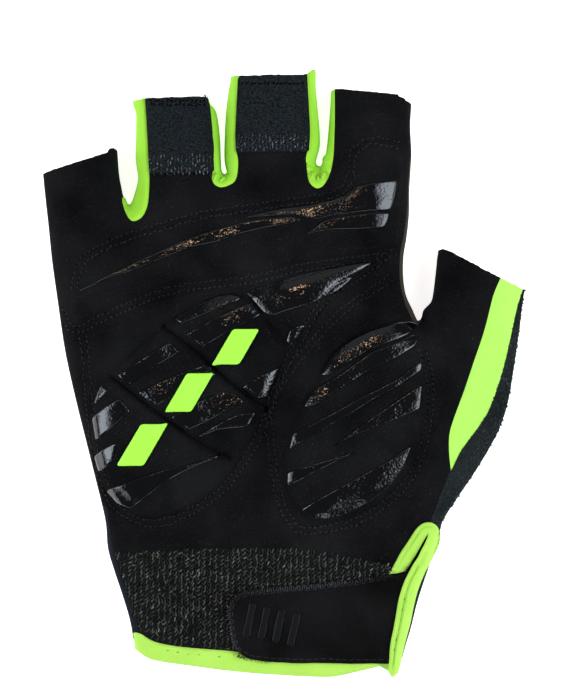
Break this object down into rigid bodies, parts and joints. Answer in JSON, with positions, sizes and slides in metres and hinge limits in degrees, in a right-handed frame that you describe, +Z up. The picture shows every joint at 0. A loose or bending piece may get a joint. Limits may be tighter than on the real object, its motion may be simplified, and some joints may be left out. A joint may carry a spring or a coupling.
{
  "type": "fingerless cycling glove",
  "caption": "Fingerless right-hand cycling glove lying palm up, with gel pads, glossy grip print, pull tabs, knit cuff and a closure strap.",
  "frame": {"origin": "on the flat resting face of the glove's back, under the middle of the hand", "axes": "+X across the palm towards the thumb, +Y along the fingers, +Z up out of the palm"},
  "size_m": [0.1299, 0.1642, 0.0228],
  "materials": {
    "palm_suede": "matte suede-like microfibre",
    "pad_suede": "matte suede-like microfibre over gel",
    "back_stretch": "smooth stretch fabric",
    "cuff_knit": "coarse rib knit with light flecks",
    "thumb_terry": "short soft terry",
    "lime_stretch": "smooth bright stretch fabric",
    "lime_binding": "folded bright tape with a stitched edge",
    "khaki_stretch": "smooth stretch fabric",
    "tab_webbing": "finely ribbed woven ribbon with a looped end",
    "strap_suede": "matte microfibre with a stitched edge",
    "strap_rubber": "half-gloss rubber film",
    "grip_print": "thick glossy printed film",
    "lime_print": "smooth bright printed film"
  },
  "bodies": {
    "root": {"palm_panel": "palm_suede", "back_panel": "back_stretch", "cuff_knit": "cuff_knit", "thumb_stripe": "lime_stretch", "thumb_back_panel": "thumb_terry", "gusset_little_ring": "lime_stretch", "gusset_ring_middle": "lime_stretch", "gusset_middle_index": "lime_stretch", "gusset_index_thumb": "khaki_stretch", "front_hem": "lime_binding", "back_hem": "lime_binding", "slit_binding": "lime_binding", "closure_strap": "strap_suede", "strap_grip": "strap_rubber", "ring_pull_tab": "tab_webbing", "middle_pull_tab": "tab_webbing", "heel_pad_1": "pad_suede", "heel_pad_1_print_1": "grip_print", "heel_pad_1_print_2": "grip_print", "heel_pad_1_print_3": "grip_print", "heel_pad_2": "pad_suede", "heel_pad_2_print_1": "grip_print", "heel_pad_2_print_2": "grip_print", "heel_pad_2_print_3": "grip_print", "heel_pad_2_print_4": "grip_print", "heel_pad_3": "pad_suede", "heel_pad_3_print_1": "grip_print", "heel_pad_3_print_2": "grip_print", "palm_pad": "pad_suede", "palm_pad_print_1": "grip_print", "thumb_heel_pad": "pad_suede", "thumb_heel_pad_print_1": "grip_print", "thumb_heel_pad_print_2": "grip_print", "thumb_heel_pad_print_3": "grip_print", "thumb_heel_pad_print_4": "grip_print", "thumb_heel_pad_print_5": "grip_print", "thumb_heel_pad_print_6": "grip_print", "knuckle_pad": "pad_suede", "knuckle_pad_print_1": "grip_print", "knuckle_pad_print_2": "grip_print", "knuckle_pad_print_3": "grip_print", "heel_mark_1": "lime_print", "heel_mark_2": "lime_print", "heel_mark_3": "lime_print"}
  },
  "joints": []
}
